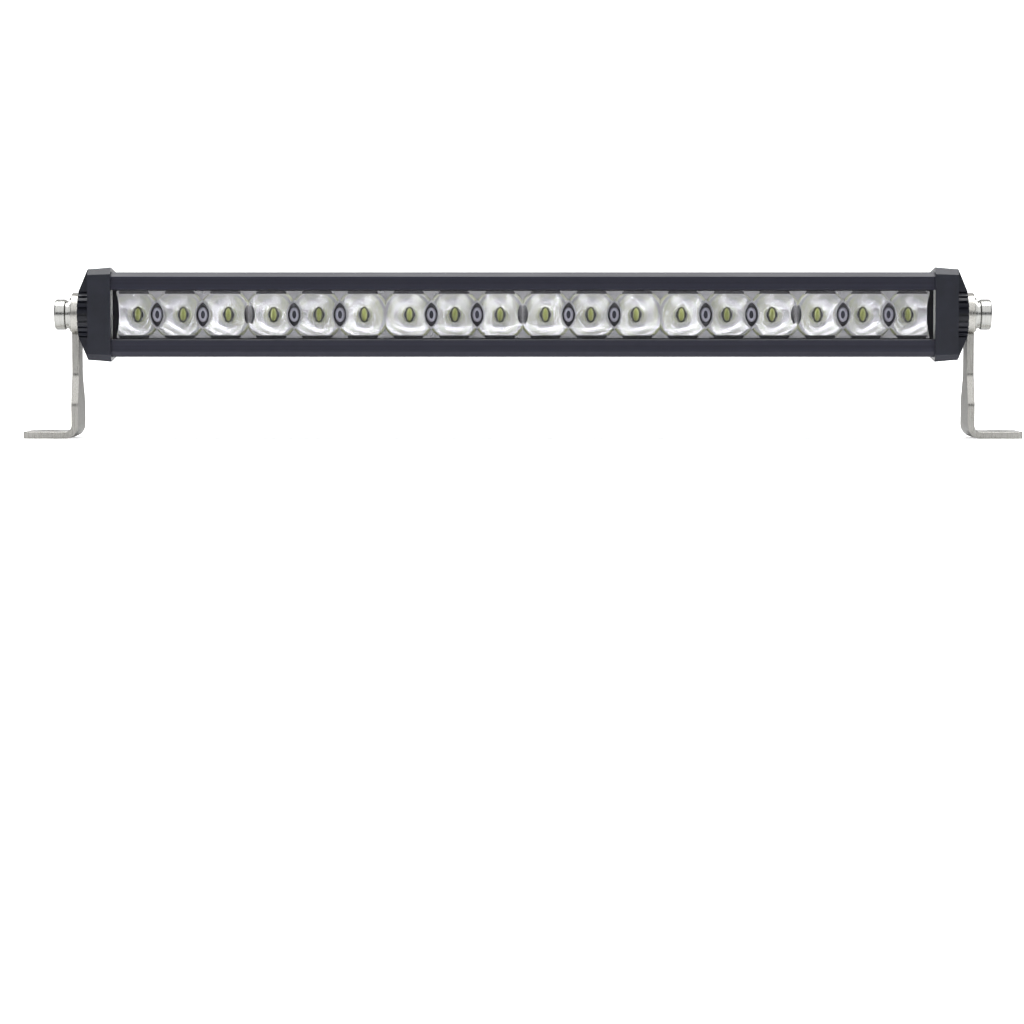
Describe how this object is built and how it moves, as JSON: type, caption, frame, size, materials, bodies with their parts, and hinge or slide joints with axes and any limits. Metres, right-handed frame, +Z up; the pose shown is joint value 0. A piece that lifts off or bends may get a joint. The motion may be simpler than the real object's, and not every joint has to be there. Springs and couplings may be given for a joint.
{
  "type": "led light bar",
  "caption": "Slim single-row LED light bar with a clear lens, faceted reflector cups, finned housing, black end caps and two swivelling stainless L-brackets.",
  "frame": {"origin": "on the mounting surface, at the middle of the line between the slots of the two feet", "axes": "+X along the bar, to the right seen from the front; +Z up from the mounting surface; the light leaves towards -Y"},
  "size_m": [0.5728, 0.0616, 0.0978],
  "materials": {
    "black_housing": "satin black anodised extrusion",
    "black_cap": "matte black powder coat on a die casting",
    "clear_lens": "clear polished polycarbonate",
    "mirror_reflector": "vacuum-metallised, finely faceted",
    "grey_fastener": "moulded nylon, slightly glossy",
    "led_board": "black solder mask on aluminium",
    "led_phosphor": "yellow phosphor under clear silicone",
    "thermal_pad": "grey silicone",
    "grey_silicone": "light grey silicone cord",
    "black_rubber": "matte silicone rubber",
    "brushed_stainless": "brushed stainless plate",
    "stainless_fastener": "turned stainless",
    "brass": "machined",
    "black_plastic": "moulded nylon",
    "green_board": "green solder mask",
    "driver_component": "moulded packages"
  },
  "bodies": {
    "bar": {"driver_board": "green_board", "driver_capacitors": "driver_component", "driver_chips": "driver_component", "driver_inductors": "driver_component", "gland_body": "black_plastic", "gland_locknut": "black_plastic", "gland_nut": "black_plastic", "gland_oring": "black_rubber", "gland_seal": "black_rubber", "housing": "black_housing", "led_board_1": "led_board", "led_board_2": "led_board", "led_board_3": "led_board", "led_chips_1": "led_phosphor", "led_chips_2": "led_phosphor", "led_chips_3": "led_phosphor", "left_cap_gasket": "black_rubber", "left_cap_screws": "stainless_fastener", "left_end_cap": "black_cap", "left_flat_washer": "stainless_fastener", "left_pivot_bolt": "stainless_fastener", "left_pivot_insert": "brass", "left_spring_washer": "stainless_fastener", "lens": "clear_lens", "lens_gasket": "grey_silicone", "reflector_fasteners": "grey_fastener", "reflector_module_1": "mirror_reflector", "reflector_module_2": "mirror_reflector", "reflector_module_3": "mirror_reflector", "right_cap_gasket": "black_rubber", "right_cap_screws": "stainless_fastener", "right_end_cap": "black_cap", "right_flat_washer": "stainless_fastener", "right_pivot_bolt": "stainless_fastener", "right_pivot_insert": "brass", "right_spring_washer": "stainless_fastener", "thermal_pad_1": "thermal_pad", "thermal_pad_2": "thermal_pad", "thermal_pad_3": "thermal_pad", "vent_oring": "black_rubber", "vent_plug": "black_plastic"},
    "left_bracket": {"left_bracket": "brushed_stainless"},
    "right_bracket": {"right_bracket": "brushed_stainless"}
  },
  "joints": [
    {"name": "left_bracket_swing", "type": "hinge", "parent": "bar", "child": "left_bracket", "pos_m": [-0.2566, -0.006, 0.071], "axis": [1, 0, 0], "continuous": true},
    {"name": "right_bracket_swing", "type": "hinge", "parent": "bar", "child": "right_bracket", "pos_m": [0.2566, -0.006, 0.071], "axis": [1, 0, 0], "continuous": true}
  ]
}
